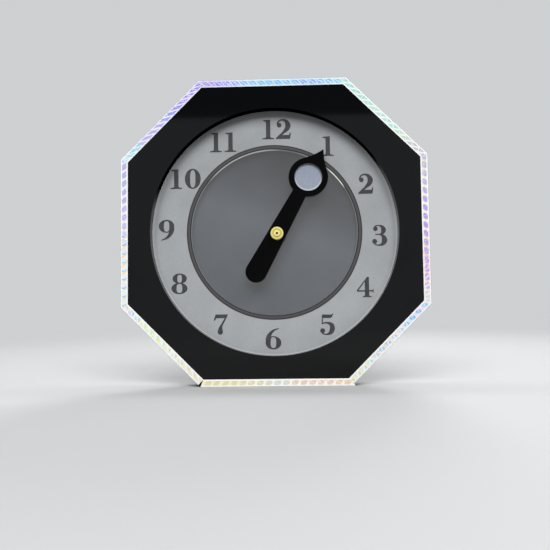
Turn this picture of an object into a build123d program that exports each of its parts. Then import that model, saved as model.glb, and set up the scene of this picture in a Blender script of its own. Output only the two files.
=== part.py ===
"""Mystery clock: an eight-sided black case with a frosted hour ring round a clear window.

One black hand turns on a clear disc that fills the window. The disc runs in a race that the
hour ring and the case hide, so nothing seems to carry the hand.

Axes: X to the right seen from the front, Y from front to back, Z up. The case stands on Z = 0
and Y = 0 is half way through it. Depths are counted from the front face of the case.
"""
from build123d import *
import math
import os

os.makedirs("parts", exist_ok=True)

# Outline of the case: a square with its corners cut at 45 degrees
case_width = 304.8
case_height = 304.8
corner_cut = 78.6
panel_thickness = 9.5
panel_margin = 29.4
rear_edge_bevel = 0.8

# Hour ring, held between the front panel and its seat in the back frame
dial_thickness = 4.8
dial_ring_width = 39.3
dial_lap = 7.0
dial_seat_clearance = 0.3
border_width = 4.3
border_thickness = 0.2

# Hub of the hand, to the right of the dial's centre and below it
hub_right = 3.0
hub_below = 3.0

# Clear disc that carries the hand, and the race that it turns in
rotor_margin = 5.0
rotor_thickness = 4.8
race_clearance = 0.5
glide_width = 6.0
glide_thickness = 0.4
glide_inset = 0.5
running_gap = 0.15

# Ring that closes the race from behind
retainer_lap = 8.0
retainer_seat_width = 7.5
retainer_thickness = 3.2
retainer_clearance = 0.3

# Screws of the case and of the retainer ring, all put in from behind
case_screw_inset = 14.0
case_screw_shank_diameter = 3.5
case_screw_head_diameter = 7.2
case_screw_bite = 6.0
case_socket_width = 2.4
case_socket_depth = 1.2
retainer_screw_count = 4
retainer_screw_shank_diameter = 2.0
retainer_screw_head_diameter = 4.0
retainer_screw_length = 6.0
retainer_socket_width = 1.3
retainer_socket_depth = 0.8
screw_clearance = 0.1
screw_tip_clearance = 0.3
countersink_angle = 90.0

# Decorative tape round the front face
tape_width = 7.0
tape_thickness = 0.2
tape_edge_margin = 0.2
tape_corner_overrun = 2.8

# Hand, whose tip laps over the hour ring, and whose tail is measured from the hub
hand_thickness = 6.35
hand_gap = 0.8
hand_bevel = 0.2
hand_angle = 29.5
tip_lap = 12.7
tip_to_eye = 31.8
head_diameter = 39.3
eye_diameter = 27.4
flank_angle = 42.5
neck_width = 14.5
tail_reach = 43.0
tail_width = 21.3

# Pale disc let into the back of the hand, behind its eye
eye_disc_lap = 2.0
eye_disc_thickness = 1.6
eye_disc_clearance = 0.1

# Pivot: a screw from behind through the disc, spacer and hand, with a thumb nut in front
pivot_diameter = 6.35
pivot_clearance = 0.05
pivot_head_diameter = 12.0
pivot_head_height = 2.2
pivot_socket_width = 4.0
pivot_socket_depth = 1.3
pivot_end_proud = 0.5
pivot_end_bevel = 0.4
centre_mark_diameter = 1.6
centre_mark_depth = 1.6
washer_diameter = 18.0
washer_thickness = 0.8
spacer_diameter = 12.7
nut_diameter = 12.7
nut_height = 5.2
nut_bevel = 0.7
nut_recess_diameter = 9.2
nut_recess_depth = 0.5
knurl_count = 24
knurl_depth = 0.4

# How far a cut runs past the piece it cuts
cut_overrun = 1.0

# Depths of the layers behind the front face
race_length = rotor_thickness + 2 * (glide_thickness + running_gap)
frame_thickness = dial_thickness + race_length + retainer_thickness
case_depth = panel_thickness + frame_thickness
dial_back = panel_thickness + dial_thickness
rotor_front = dial_back + glide_thickness + running_gap
rotor_back = rotor_front + rotor_thickness
race_back = dial_back + race_length
hand_back = panel_thickness - hand_gap
hand_front = hand_back - hand_thickness
nut_front = hand_front - nut_height
pivot_end = nut_front - pivot_end_proud
washer_back = rotor_back + washer_thickness

# Radii that several pieces share
panel_hole_radius = min(case_width, case_height) / 2 - panel_margin
dial_radius = panel_hole_radius + dial_lap
dial_seat_radius = dial_radius + dial_seat_clearance
dial_hole_radius = panel_hole_radius - dial_ring_width
rotor_radius = panel_hole_radius - rotor_margin
race_radius = rotor_radius + race_clearance
retainer_radius = race_radius + retainer_seat_width
retainer_hole_radius = rotor_radius - retainer_lap
retainer_screw_circle = race_radius + retainer_seat_width / 2
pivot_radius = pivot_diameter / 2
pivot_hole_radius = pivot_radius + pivot_clearance

# Reaches of the hand's tip and eye from the hub
tip_reach = dial_hole_radius + tip_lap
eye_reach = tip_reach - tip_to_eye


def layer(depth, right=0, below=0):
    """Plane at a depth behind the front face, facing the viewer, centred on the dial or beside it."""
    place = (right, depth - case_depth / 2, case_height / 2 - below)
    return Plane(origin=place, x_dir=(1, 0, 0), z_dir=(0, -1, 0))


def hub_layer(depth):
    """Plane at a depth behind the front face, centred on the hub, its Y axis along the hand."""
    turn = math.radians(hand_angle)
    place = (hub_right, depth - case_depth / 2, case_height / 2 - hub_below)
    return Plane(origin=place, x_dir=(math.cos(turn), 0, -math.sin(turn)), z_dir=(0, -1, 0))


def rear_layer(depth, right=0, below=0):
    """Plane at a depth behind the front face, facing backwards."""
    place = (right, depth - case_depth / 2, case_height / 2 - below)
    return Plane(origin=place, x_dir=(-1, 0, 0), z_dir=(0, 1, 0))


def octagon_points(inset):
    """Corners of the case's outline moved inwards, clockwise from the left end of the top edge."""
    half_width = case_width / 2 - inset
    half_height = case_height / 2 - inset
    cut = corner_cut - inset * (2 - math.sqrt(2))
    return [
        (-half_width + cut, half_height),
        (half_width - cut, half_height),
        (half_width, half_height - cut),
        (half_width, -half_height + cut),
        (half_width - cut, -half_height),
        (-half_width + cut, -half_height),
        (-half_width, -half_height + cut),
        (-half_width, half_height - cut),
    ]


def slope_middles(inset):
    """Middles of the four sloped edges, moved inwards."""
    points = octagon_points(inset)
    pairs = [(points[1], points[2]), (points[3], points[4]), (points[5], points[6]), (points[7], points[0])]
    return [((a[0] + b[0]) / 2, (a[1] + b[1]) / 2) for a, b in pairs]


def ring_points(radius, count):
    """Points spread evenly round a circle, the first half a step from the right."""
    turns = [2 * math.pi * (step + 1 / 2) / count for step in range(count)]
    return [(radius * math.cos(turn), radius * math.sin(turn)) for turn in turns]


def finish(piece, name):
    """Label a finished piece and write its file."""
    piece.part.label = name
    export_step(piece.part, "parts/" + name + ".step")


# Front panel: the black board with the round hole, drilled part way from behind for the screws
with BuildPart() as front_panel:
    with BuildSketch(layer(panel_thickness)):
        Polygon(*octagon_points(0), align=None)
        Circle(panel_hole_radius, mode=Mode.SUBTRACT)
    extrude(amount=panel_thickness)
    with BuildSketch(rear_layer(panel_thickness)):
        with Locations(*slope_middles(case_screw_inset)):
            Circle(case_screw_shank_diameter / 2 + screw_clearance)
    extrude(amount=-(case_screw_bite + screw_tip_clearance), mode=Mode.SUBTRACT)
finish(front_panel, "front_panel")

# Back frame: seat for the hour ring in front, the race in the middle, seat for the retainer behind
with BuildPart() as back_frame:
    with BuildSketch(layer(case_depth)):
        Polygon(*octagon_points(0), align=None)
    extrude(amount=frame_thickness)
    chamfer(back_frame.faces().sort_by(Axis.Y)[-1].edges(), rear_edge_bevel)
    with BuildSketch(layer(dial_back)):
        Circle(dial_seat_radius)
    extrude(amount=dial_thickness + cut_overrun, mode=Mode.SUBTRACT)
    with BuildSketch(rear_layer(case_depth, hub_right, hub_below)):
        Circle(race_radius)
    extrude(amount=-frame_thickness, mode=Mode.SUBTRACT)
    with BuildSketch(rear_layer(race_back, hub_right, hub_below)):
        Circle(retainer_radius + retainer_clearance)
    extrude(amount=retainer_thickness + cut_overrun, mode=Mode.SUBTRACT)
    with Locations(rear_layer(case_depth)):
        with Locations(*slope_middles(case_screw_inset)):
            CounterSinkHole(
                case_screw_shank_diameter / 2 + screw_clearance,
                case_screw_head_diameter / 2 + screw_clearance,
                counter_sink_angle=countersink_angle,
            )
    with Locations(rear_layer(race_back, hub_right, hub_below)):
        with Locations(*ring_points(retainer_screw_circle, retainer_screw_count)):
            Hole(
                retainer_screw_shank_diameter / 2 + screw_clearance,
                depth=retainer_screw_length - retainer_thickness + screw_tip_clearance,
            )
finish(back_frame, "back_frame")

# Hour ring: the frosted plate that carries the numerals
with BuildPart() as dial_plate:
    with BuildSketch(layer(dial_back)):
        Circle(dial_radius)
        Circle(dial_hole_radius, mode=Mode.SUBTRACT)
    extrude(amount=dial_thickness)
finish(dial_plate, "dial_plate")

# Dark border: a thin ring laid on the hour ring along its inner edge
with BuildPart() as dial_border:
    with BuildSketch(layer(panel_thickness)):
        Circle(dial_hole_radius + border_width)
        Circle(dial_hole_radius, mode=Mode.SUBTRACT)
    extrude(amount=border_thickness)
finish(dial_border, "dial_border")

# Front glide: a slippery ring between the hour ring and the turning disc
glide_radius = rotor_radius - glide_inset
with BuildPart() as front_glide_ring:
    with BuildSketch(layer(dial_back + glide_thickness, hub_right, hub_below)):
        Circle(glide_radius)
        Circle(glide_radius - glide_width, mode=Mode.SUBTRACT)
    extrude(amount=glide_thickness)
finish(front_glide_ring, "front_glide_ring")

# Rear glide: the same ring on the retainer's side
with BuildPart() as rear_glide_ring:
    with BuildSketch(layer(race_back, hub_right, hub_below)):
        Circle(glide_radius)
        Circle(glide_radius - glide_width, mode=Mode.SUBTRACT)
    extrude(amount=glide_thickness)
finish(rear_glide_ring, "rear_glide_ring")

# Retainer ring: closes the race from behind and leaves the window open
with BuildPart() as retainer_ring:
    with BuildSketch(layer(case_depth, hub_right, hub_below)):
        Circle(retainer_radius)
        Circle(retainer_hole_radius, mode=Mode.SUBTRACT)
    extrude(amount=retainer_thickness)
    with Locations(rear_layer(case_depth, hub_right, hub_below)):
        with Locations(*ring_points(retainer_screw_circle, retainer_screw_count)):
            CounterSinkHole(
                retainer_screw_shank_diameter / 2 + screw_clearance,
                retainer_screw_head_diameter / 2 + screw_clearance,
                counter_sink_angle=countersink_angle,
            )
finish(retainer_ring, "retainer_ring")


def add_screws(face, points, head_diameter, shank_diameter, length):
    """Countersunk screws with flush heads, pointing into a face from outside."""
    head_height = (head_diameter - shank_diameter) / 2 / math.tan(math.radians(countersink_angle / 2))
    with Locations(face):
        with Locations(*points):
            Cone(
                shank_diameter / 2,
                head_diameter / 2,
                head_height,
                align=(Align.CENTER, Align.CENTER, Align.MAX),
            )
            Cylinder(
                shank_diameter / 2,
                length,
                align=(Align.CENTER, Align.CENTER, Align.MAX),
            )


# Case screws: hold the back frame to the front panel, one behind each sloped edge
with BuildPart() as case_screws:
    add_screws(
        rear_layer(case_depth),
        slope_middles(case_screw_inset),
        case_screw_head_diameter,
        case_screw_shank_diameter,
        frame_thickness + case_screw_bite,
    )
    with BuildSketch(rear_layer(case_depth)):
        with Locations(*slope_middles(case_screw_inset)):
            RegularPolygon(case_socket_width / 2, 6, major_radius=False)
    extrude(amount=-case_socket_depth, mode=Mode.SUBTRACT)
finish(case_screws, "case_screws")

# Retainer screws: hold the retainer ring in its seat
with BuildPart() as retainer_screws:
    add_screws(
        rear_layer(case_depth, hub_right, hub_below),
        ring_points(retainer_screw_circle, retainer_screw_count),
        retainer_screw_head_diameter,
        retainer_screw_shank_diameter,
        retainer_screw_length,
    )
    with BuildSketch(rear_layer(case_depth, hub_right, hub_below)):
        with Locations(*ring_points(retainer_screw_circle, retainer_screw_count)):
            RegularPolygon(retainer_socket_width / 2, 6, major_radius=False)
    extrude(amount=-retainer_socket_depth, mode=Mode.SUBTRACT)
finish(retainer_screws, "retainer_screws")

# Decorative tape: a strip along each edge of the front face, mitred where two strips meet
tape_names = [
    "tape_top",
    "tape_upper_right",
    "tape_right",
    "tape_lower_right",
    "tape_bottom",
    "tape_lower_left",
    "tape_left",
    "tape_upper_left",
]
tape_outer = octagon_points(tape_edge_margin)
tape_inner = octagon_points(tape_edge_margin + tape_width)
for start, tape_name in enumerate(tape_names):
    end = (start + 1) % len(tape_names)
    strip = [tape_inner[end], tape_inner[start], tape_outer[start], tape_outer[end]]
    if tape_name == "tape_lower_left":
        # Its lower end is cut square, which leaves a notch at the corner
        square_cut = tape_width * math.tan(math.radians(45 / 2)) / math.sqrt(2)
        corner_x, corner_y = tape_outer[start]
        strip[2] = (corner_x - square_cut, corner_y + square_cut)
    if tape_name == "tape_lower_right":
        # Its lower end stops on the end of the bottom strip
        corner_x, corner_y = tape_outer[end]
        strip[3] = (corner_x + tape_corner_overrun, corner_y + tape_corner_overrun)
    if tape_name == "tape_bottom":
        # Its right end runs a little past the corner
        corner_x, corner_y = tape_outer[start]
        strip[2:3] = [
            (corner_x + tape_corner_overrun, corner_y + tape_corner_overrun),
            (corner_x + tape_corner_overrun, corner_y),
        ]
    with BuildPart() as tape_strip:
        with BuildSketch(layer(0)):
            Polygon(*strip, align=None)
        extrude(amount=tape_thickness)
    finish(tape_strip, tape_name)

# Turning disc: clear, as wide as its race, with one hole at the hub
with BuildPart() as rotor_disc:
    with BuildSketch(hub_layer(rotor_back)):
        Circle(rotor_radius)
        Circle(pivot_hole_radius, mode=Mode.SUBTRACT)
    extrude(amount=rotor_thickness)
finish(rotor_disc, "rotor_disc")

# Hand: a tapered stem with a round tail, a ring for a head, and a tip whose flanks leave the ring
head_radius = head_diameter / 2
tail_radius = tail_width / 2
neck_angle = 180 - math.degrees(math.asin(neck_width / head_diameter))
neck_x = neck_width / 2
neck_y = eye_reach + head_radius * math.cos(math.radians(neck_angle))
side_lean = math.atan2(neck_x, neck_y + tail_reach)
side_angle = side_lean + math.acos(tail_radius / math.hypot(neck_x, neck_y + tail_reach))
side_end = (tail_radius * math.sin(side_angle), tail_radius * math.cos(side_angle) - tail_reach)
tail_start = 90 - math.degrees(side_angle)
with BuildPart() as hand:
    with BuildSketch(hub_layer(hand_back)):
        with BuildLine():
            head = CenterArc((0, eye_reach), head_radius, 90 - flank_angle, flank_angle - neck_angle)
            TangentArc(head @ 0, (0, tip_reach), tangent=(head % 0) * -1)
            Line(head @ 1, side_end)
            CenterArc((0, -tail_reach), tail_radius, tail_start, -90 - tail_start)
            mirror(about=Plane.YZ)
        make_face()
        with Locations((0, eye_reach)):
            Circle(eye_diameter / 2, mode=Mode.SUBTRACT)
    extrude(amount=hand_thickness)
    chamfer(hand.faces().sort_by(Axis.Y)[0].edges(), hand_bevel)
    with BuildSketch(hub_layer(hand_back)):
        with Locations((0, eye_reach)):
            Circle(eye_diameter / 2 + eye_disc_lap)
    extrude(amount=eye_disc_thickness, mode=Mode.SUBTRACT)
    with BuildSketch(hub_layer(hand_back)):
        Circle(pivot_hole_radius)
    extrude(amount=hand_thickness, mode=Mode.SUBTRACT)
finish(hand, "hand")

# Eye disc: pale metal, flush with the back of the hand
with BuildPart() as eye_disc:
    with BuildSketch(hub_layer(hand_back)):
        with Locations((0, eye_reach)):
            Circle(eye_diameter / 2 + eye_disc_lap - eye_disc_clearance)
    extrude(amount=eye_disc_thickness)
finish(eye_disc, "eye_disc")

# Hub spacer: carries the hand clear of the hour ring, in front of the turning disc
with BuildPart() as hub_spacer:
    with BuildSketch(hub_layer(rotor_front)):
        Circle(spacer_diameter / 2)
        Circle(pivot_hole_radius, mode=Mode.SUBTRACT)
    extrude(amount=rotor_front - hand_back)
finish(hub_spacer, "hub_spacer")

# Pivot washer: spreads the screw's head over the back of the turning disc
with BuildPart() as pivot_washer:
    with BuildSketch(hub_layer(washer_back)):
        Circle(washer_diameter / 2)
        Circle(pivot_hole_radius, mode=Mode.SUBTRACT)
    extrude(amount=washer_thickness)
finish(pivot_washer, "pivot_washer")

# Pivot screw: low head behind the washer, end centre-marked in front of the nut
with BuildPart() as pivot_screw:
    with BuildSketch(hub_layer(washer_back + pivot_head_height)):
        Circle(pivot_head_diameter / 2)
    extrude(amount=pivot_head_height)
    with BuildSketch(hub_layer(washer_back)):
        Circle(pivot_radius)
    extrude(amount=washer_back - pivot_end)
    chamfer(pivot_screw.faces().sort_by(Axis.Y)[0].edges(), pivot_end_bevel)
    with BuildSketch(hub_layer(pivot_end)):
        Circle(centre_mark_diameter / 2)
    extrude(amount=-centre_mark_depth, mode=Mode.SUBTRACT)
    with BuildSketch(hub_layer(washer_back + pivot_head_height)):
        RegularPolygon(pivot_socket_width / 2, 6, major_radius=False)
    extrude(amount=pivot_socket_depth, mode=Mode.SUBTRACT)
finish(pivot_screw, "pivot_screw")

# Thumb nut: brass, bevelled and dished in front, and knurled round its rim
with BuildPart() as thumb_nut:
    with BuildSketch(hub_layer(hand_front)):
        Circle(nut_diameter / 2)
    extrude(amount=nut_height)
    chamfer(thumb_nut.faces().sort_by(Axis.Y)[0].edges(), nut_bevel)
    with BuildSketch(hub_layer(hand_front)):
        Circle(pivot_hole_radius)
        with PolarLocations(nut_diameter / 2, knurl_count):
            RegularPolygon(knurl_depth, 4)
    extrude(amount=nut_height, mode=Mode.SUBTRACT)
    with BuildSketch(hub_layer(nut_front)):
        Circle(nut_recess_diameter / 2)
    extrude(amount=-nut_recess_depth, mode=Mode.SUBTRACT)
finish(thumb_nut, "thumb_nut")

print("case depth", round(case_depth, 2), "mm, hand from", round(hand_front, 2), "to", round(hand_back, 2))
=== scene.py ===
# %% [markdown]
# This script dresses a mystery clock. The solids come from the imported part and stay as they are.
# Each one gets a finish made from nodes, twelve numerals are laid on the hour ring, and a plain
# pale studio is set round the clock, with a camera below the middle of the dial.

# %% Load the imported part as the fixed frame
import math

import bpy
import numpy as np
from mathutils import Matrix, Vector
from mathutils.geometry import delaunay_2d_cdt


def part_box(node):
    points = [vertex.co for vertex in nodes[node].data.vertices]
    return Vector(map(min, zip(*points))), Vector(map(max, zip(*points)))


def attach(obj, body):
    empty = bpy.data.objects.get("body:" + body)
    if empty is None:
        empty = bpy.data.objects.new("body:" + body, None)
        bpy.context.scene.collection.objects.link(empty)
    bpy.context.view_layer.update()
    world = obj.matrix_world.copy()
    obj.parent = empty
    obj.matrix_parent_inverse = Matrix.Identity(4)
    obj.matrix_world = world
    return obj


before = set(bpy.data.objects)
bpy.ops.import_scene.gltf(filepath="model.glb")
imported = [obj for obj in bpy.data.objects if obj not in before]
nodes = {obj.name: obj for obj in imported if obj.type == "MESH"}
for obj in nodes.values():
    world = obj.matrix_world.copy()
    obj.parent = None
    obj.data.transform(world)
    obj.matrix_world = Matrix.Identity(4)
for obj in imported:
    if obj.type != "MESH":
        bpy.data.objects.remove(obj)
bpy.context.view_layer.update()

# %% [markdown]
# Places are read from the frame and not typed, so the numerals and the patterns follow the solids
# when a size of the clock changes. All lengths here are metres, and mm turns a length given in
# millimetres into metres.

# %% Read the places that later cells need
mm = 0.001
plate_low, plate_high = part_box("dial_plate")
dial_centre = (plate_low + plate_high) / 2
dial_face = plate_low.y
print_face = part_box("dial_border")[0].y
screw_low, screw_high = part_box("pivot_screw")
hub = (screw_low + screw_high) / 2
print("dial centre", dial_centre, "print thickness", dial_face - print_face)

# %% [markdown]
# Colours are easiest to choose as they show on a screen, from 0 to 255, but shaders want linear
# light. One function does the change. It could be done by eye with small decimals, but then a
# colour could no longer be compared with a picture.

# %% Colours as they show on a screen


def tone(red, green, blue):
    """Screen values to linear light: under a share of 0.04 the share is divided by 12.92, and
    above it 0.055 is added, the sum is divided by 1.055 and raised to the power 2.4."""
    share = np.array([red, green, blue]) / 255
    light = np.where(share < 0.04, share / 12.92, ((share + 0.055) / 1.055) ** 2.4)
    return (*light.tolist(), 1.0)


print("middle grey is", round(tone(119, 119, 119)[0], 3), "in linear light")

# %% [markdown]
# A finish is a small program of nodes. Linking them one by one hides the sums, so a Wire stands for
# one output of a node and takes part in Python's own sums, each of which adds a Math node. Numbers
# may stand on either side of the sign, which is why the reflected forms are there too.

# %% A wire that can be used in sums


class Wire:
    """One output of a node on a board."""

    def __init__(self, board, socket):
        self.board = board
        self.socket = socket

    def sum_of(self, operation, first, second):
        """Adds a Math node that joins two values, either of which may be a plain number."""
        return self.board.add("Math", {"operation": operation}, {0: first, 1: second})

    def __add__(self, other):
        return self.sum_of("ADD", self, other)

    def __radd__(self, other):
        return self.sum_of("ADD", other, self)

    def __sub__(self, other):
        return self.sum_of("SUBTRACT", self, other)

    def __rsub__(self, other):
        return self.sum_of("SUBTRACT", other, self)

    def __mul__(self, other):
        return self.sum_of("MULTIPLY", self, other)

    def __rmul__(self, other):
        return self.sum_of("MULTIPLY", other, self)

    def __truediv__(self, other):
        return self.sum_of("DIVIDE", self, other)


# %% [markdown]
# A Board is where nodes are laid out, for a material or for the world behind the clock. It has one
# method that adds any kind of node, so every node is made the same way: its settings, then its
# sockets, and the output that is wanted.

# %% A board of nodes


class Board:
    """A node tree, and the one method that adds nodes to it."""

    def __init__(self, tree):
        self.tree = tree

    def add(self, kind, settings, sockets, output=0):
        """Adds a node: its settings first, then a value or a wire for each socket."""
        node = self.tree.nodes.new("ShaderNode" + kind)
        for name, value in settings.items():
            if name == "stops":
                self.set_stops(node.color_ramp.elements, value)
            else:
                setattr(node, name, value)
        for socket, value in sockets.items():
            self.feed(node.inputs[socket], value)
        return Wire(self, node.outputs[output])

    def set_stops(self, elements, stops):
        """Gives a colour ramp its stops, each a place from 0 to 1 and a colour."""
        while len(elements) < len(stops):
            elements.new(1)
        for element, (place, colour) in zip(elements, stops):
            element.position = place
            element.color = colour

    def feed(self, socket, value):
        """Puts a value in a socket, or joins a wire to it."""
        if isinstance(value, Wire):
            self.tree.links.new(value.socket, socket)
        else:
            socket.default_value = value

    def vectors(self, operation, first, second=(0, 0, 0)):
        """Adds a Vector Math node. A dot product, a distance and a length are plain numbers."""
        output = "Value" if operation in ("DOT_PRODUCT", "DISTANCE", "LENGTH") else "Vector"
        return self.add("VectorMath", {"operation": operation}, {0: first, 1: second}, output)

    def size_of(self, value):
        """A value without its sign."""
        return self.add("Math", {"operation": "ABSOLUTE"}, {0: value})

    def clamp(self, value):
        """Keeps a value between 0 and 1."""
        return self.add("Clamp", {}, {"Value": value})

    def seen(self):
        """1 for what the camera sees, also in a mirror or through glass, and 0 for light itself."""
        camera_ray = self.add("LightPath", {}, {}, "Is Camera Ray")
        kinds = camera_ray.socket.node.outputs
        mirrored = Wire(self, kinds["Is Glossy Ray"])
        through = Wire(self, kinds["Is Transmission Ray"])
        return self.clamp(camera_ray + mirrored + through)

    def ease(self, value, low, high):
        """0 below low, 1 above high, with a smooth rise between."""
        sockets = {"Value": value, "From Min": low, "From Max": high}
        return self.add("MapRange", {"interpolation_type": "SMOOTHSTEP"}, sockets)

    def mix(self, share, first, second):
        """Goes from the first colour to the second as share goes from 0 to 1."""
        return self.add("Mix", {"data_type": "RGBA"}, {0: share, 6: first, 7: second}, 2)

    def ramp(self, share, colours):
        """Runs evenly through a row of colours as share goes from 0 to 1."""
        stops = list(zip(np.linspace(0, 1, len(colours)), colours))
        return self.add("ValToRGB", {"stops": stops}, {"Fac": share})


# %% [markdown]
# A Finish is a board with one material on it. What is the same all over a surface is set straight
# on the shader, and only what changes from place to place gets nodes. The masks here know a sheet's
# faces from its cut walls by the way that they point.

# %% A finish: one material and its shader


class Finish(Board):
    """A material whose fixed values are set on the shader's own sockets."""

    def __init__(self, name, fixed):
        self.material = bpy.data.materials.new(name)
        self.material.use_nodes = True
        super().__init__(self.material.node_tree)
        self.shader = self.tree.nodes["Principled BSDF"]
        for socket, value in fixed.items():
            self.shader.inputs[socket].default_value = value

    def shade(self, socket, value):
        """Lets a wire drive one of the shader's sockets."""
        self.feed(self.shader.inputs[socket], value)

    def place(self):
        """Where a point of the surface is on its own piece, in metres."""
        return self.add("TexCoord", {}, {}, "Object")

    def along(self, direction):
        """How far a point lies along a direction, which is the dot product of the two."""
        return self.vectors("DOT_PRODUCT", self.place(), direction)

    def noise(self, size, detail=2, twist=0.0, place=None):
        """Soft spots of about a given size in metres, from 0 to 1. A twist draws them out."""
        spot = self.place() if place is None else place
        sockets = {"Vector": spot, "Scale": 1 / size, "Detail": detail, "Distortion": twist}
        return self.add("TexNoise", {}, sockets)

    def within(self, value, low, high, soft):
        """1 where a value lies between low and high, with soft edges."""
        return self.ease(value, low - soft, low) * (1 - self.ease(value, high, high + soft))

    def relief(self, height, depth):
        """Tilts the light on the surface as if height, from 0 to 1, were that deep."""
        self.shade("Normal", self.add("Bump", {}, {"Height": height, "Distance": depth}, "Normal"))

    def edge_mask(self):
        """1 on the walls of a flat sheet and 0 on its front and back, which face along the depth."""
        normal = self.add("NewGeometry", {}, {}, "Normal")
        facing = self.size_of(self.vectors("DOT_PRODUCT", normal, (0, 1, 0)))
        return 1 - self.ease(facing, 0.3, 0.6)


def dress(finish, *names):
    """Puts a finish on every slot of the named solids."""
    for name in names:
        slots = nodes[name].data.materials
        slots.clear()
        slots.append(finish.material)
    print("dressed", finish.material.name, "on", ", ".join(names))


# %% [markdown]
# The front panel is gloss black acrylic sheet. Its face mirrors the room faintly and is never quite
# even: finger grease dulls it in wide soft patches and dust in fine specks. The wall of the hole is
# polished, and seen along its length it mirrors the pale ring beside it. Its upper part, which has the
# ring's own shadow to mirror, is left without gloss and stays black as painted shade. The gloss is a
# clear coat, weak on the face and full on the walls, over a black that has no shine of its own and is
# painted deeper on the walls as shade. Which part of a wall is the upper one is told by its direction
# from the middle of the dial, as the cosine of the angle to a chosen hour.

# %% Gloss black acrylic
dark_hour = 11.75
hole_reach = 130 * mm
rib_pitch = 0.8 * mm


def flat_place(finish):
    """Where a point is when its depth, from front to back, is left out."""
    return finish.vectors("MULTIPLY", finish.place(), (1, 0, 1))


def radius_about(finish, x, z):
    """Distance of a surface point from an axis that runs from front to back."""
    return finish.vectors("DISTANCE", flat_place(finish), (x, 0, z))


def hour_direction(hour, turn=0.0):
    """From the middle of the dial toward an hour: sine and cosine of its angle from the top."""
    angle = hour * math.pi / 6 + turn
    return Vector((math.sin(angle), 0, math.cos(angle)))


def toward_hour(finish, hour):
    """Cosine of the angle, about the middle of the dial, between a point and an hour."""
    offset = finish.vectors("SUBTRACT", finish.place(), dial_centre)
    heading = finish.vectors("NORMALIZE", finish.vectors("MULTIPLY", offset, (1, 0, 1)))
    return finish.vectors("DOT_PRODUCT", heading, hour_direction(hour))


def make_panel_black():
    """Black under a clear gloss, which is weaker under grease and dust and full on the walls, apart
    from the upper part of the hole, left dull as painted shade. The walls are painted a deeper black
    as shade. Cutting left fine ribs on the walls, from front to back."""
    fixed = {"Roughness": 0.8, "Specular IOR Level": 0.0, "Coat Roughness": 0.05}
    finish = Finish("panel_black", fixed)
    wall = finish.edge_mask()
    grease = finish.ease(finish.noise(45 * mm), 0.45, 0.75)
    dust = finish.ease(finish.noise(0.7 * mm, 1), 0.72, 0.8)
    face_gloss = 0.43 - 0.06 * grease - 0.12 * dust
    radius = radius_about(finish, dial_centre.x, dial_centre.z)
    in_hole = wall * (1 - finish.ease(radius, hole_reach, hole_reach + 5 * mm))
    # Painted shade: the upper part of the hole's wall gets no gloss, so it stays black.
    unlit = in_hole * finish.ease(toward_hour(finish, dark_hour), 0.3, 0.5)
    finish.shade("Coat Weight", (face_gloss + wall * (1 - face_gloss)) * (1 - unlit))
    # Painted shade: the walls are a deeper black than the face.
    finish.shade("Base Color", finish.mix(wall, tone(12, 13, 14), tone(3, 3, 3)))
    ribs = finish.noise(rib_pitch, place=flat_place(finish))
    finish.relief(ribs * wall, 0.004 * mm)
    return finish


dress(make_panel_black(), "front_panel")

# %% [markdown]
# The back frame and the retainer are satin black board, sanded and sprayed. The spray leaves a
# very fine pebbled skin, so a fine noise is used both for the relief and for the shine.

# %% Satin black board


def make_frame_black():
    """Sprayed board: a fine pebbled skin, a little paler where it was rubbed."""
    finish = Finish("frame_black", {"Specular IOR Level": 0.4})
    skin = finish.noise(0.5 * mm, 3)
    rubbed = finish.ease(finish.noise(30 * mm, 3), 0.5, 0.8)
    finish.shade("Base Color", finish.mix(rubbed, tone(27, 28, 29), tone(38, 38, 38)))
    finish.shade("Roughness", 0.42 + 0.16 * skin)
    finish.relief(skin, 0.06 * mm)
    return finish


dress(make_frame_black(), "back_frame", "retainer_ring")

# %% [markdown]
# The hour ring is clear acrylic that was frosted on its face and left polished on its cut edge.
# Frost scatters light, so the face is matt and pale grey, with slow clouds where the blasting was
# uneven, and painted light makes it a little paler toward its foot. The cut edge collects the light
# that runs inside the sheet and shows as a thin line round the window: soft grey for the most part,
# paler over the last eighth of the way to 12 and bright on one short stretch after it. Tracing that
# light would take very many samples, so the edge is given a painted glow of its own. The polished
# wall of the hole also throws light back on the ring, so its face is painted paler in a band beside
# that wall. The band is narrow at the foot, wider at both sides, and fades out toward the top. The
# directions are given as hours.

# %% Frosted hour ring
bright_hour = 1.65
paler_hour = 11.2
foot_hour = 6
band_start = 121.5 * mm
band_end = 123.3 * mm
band_widening = 2.5 * mm


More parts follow.
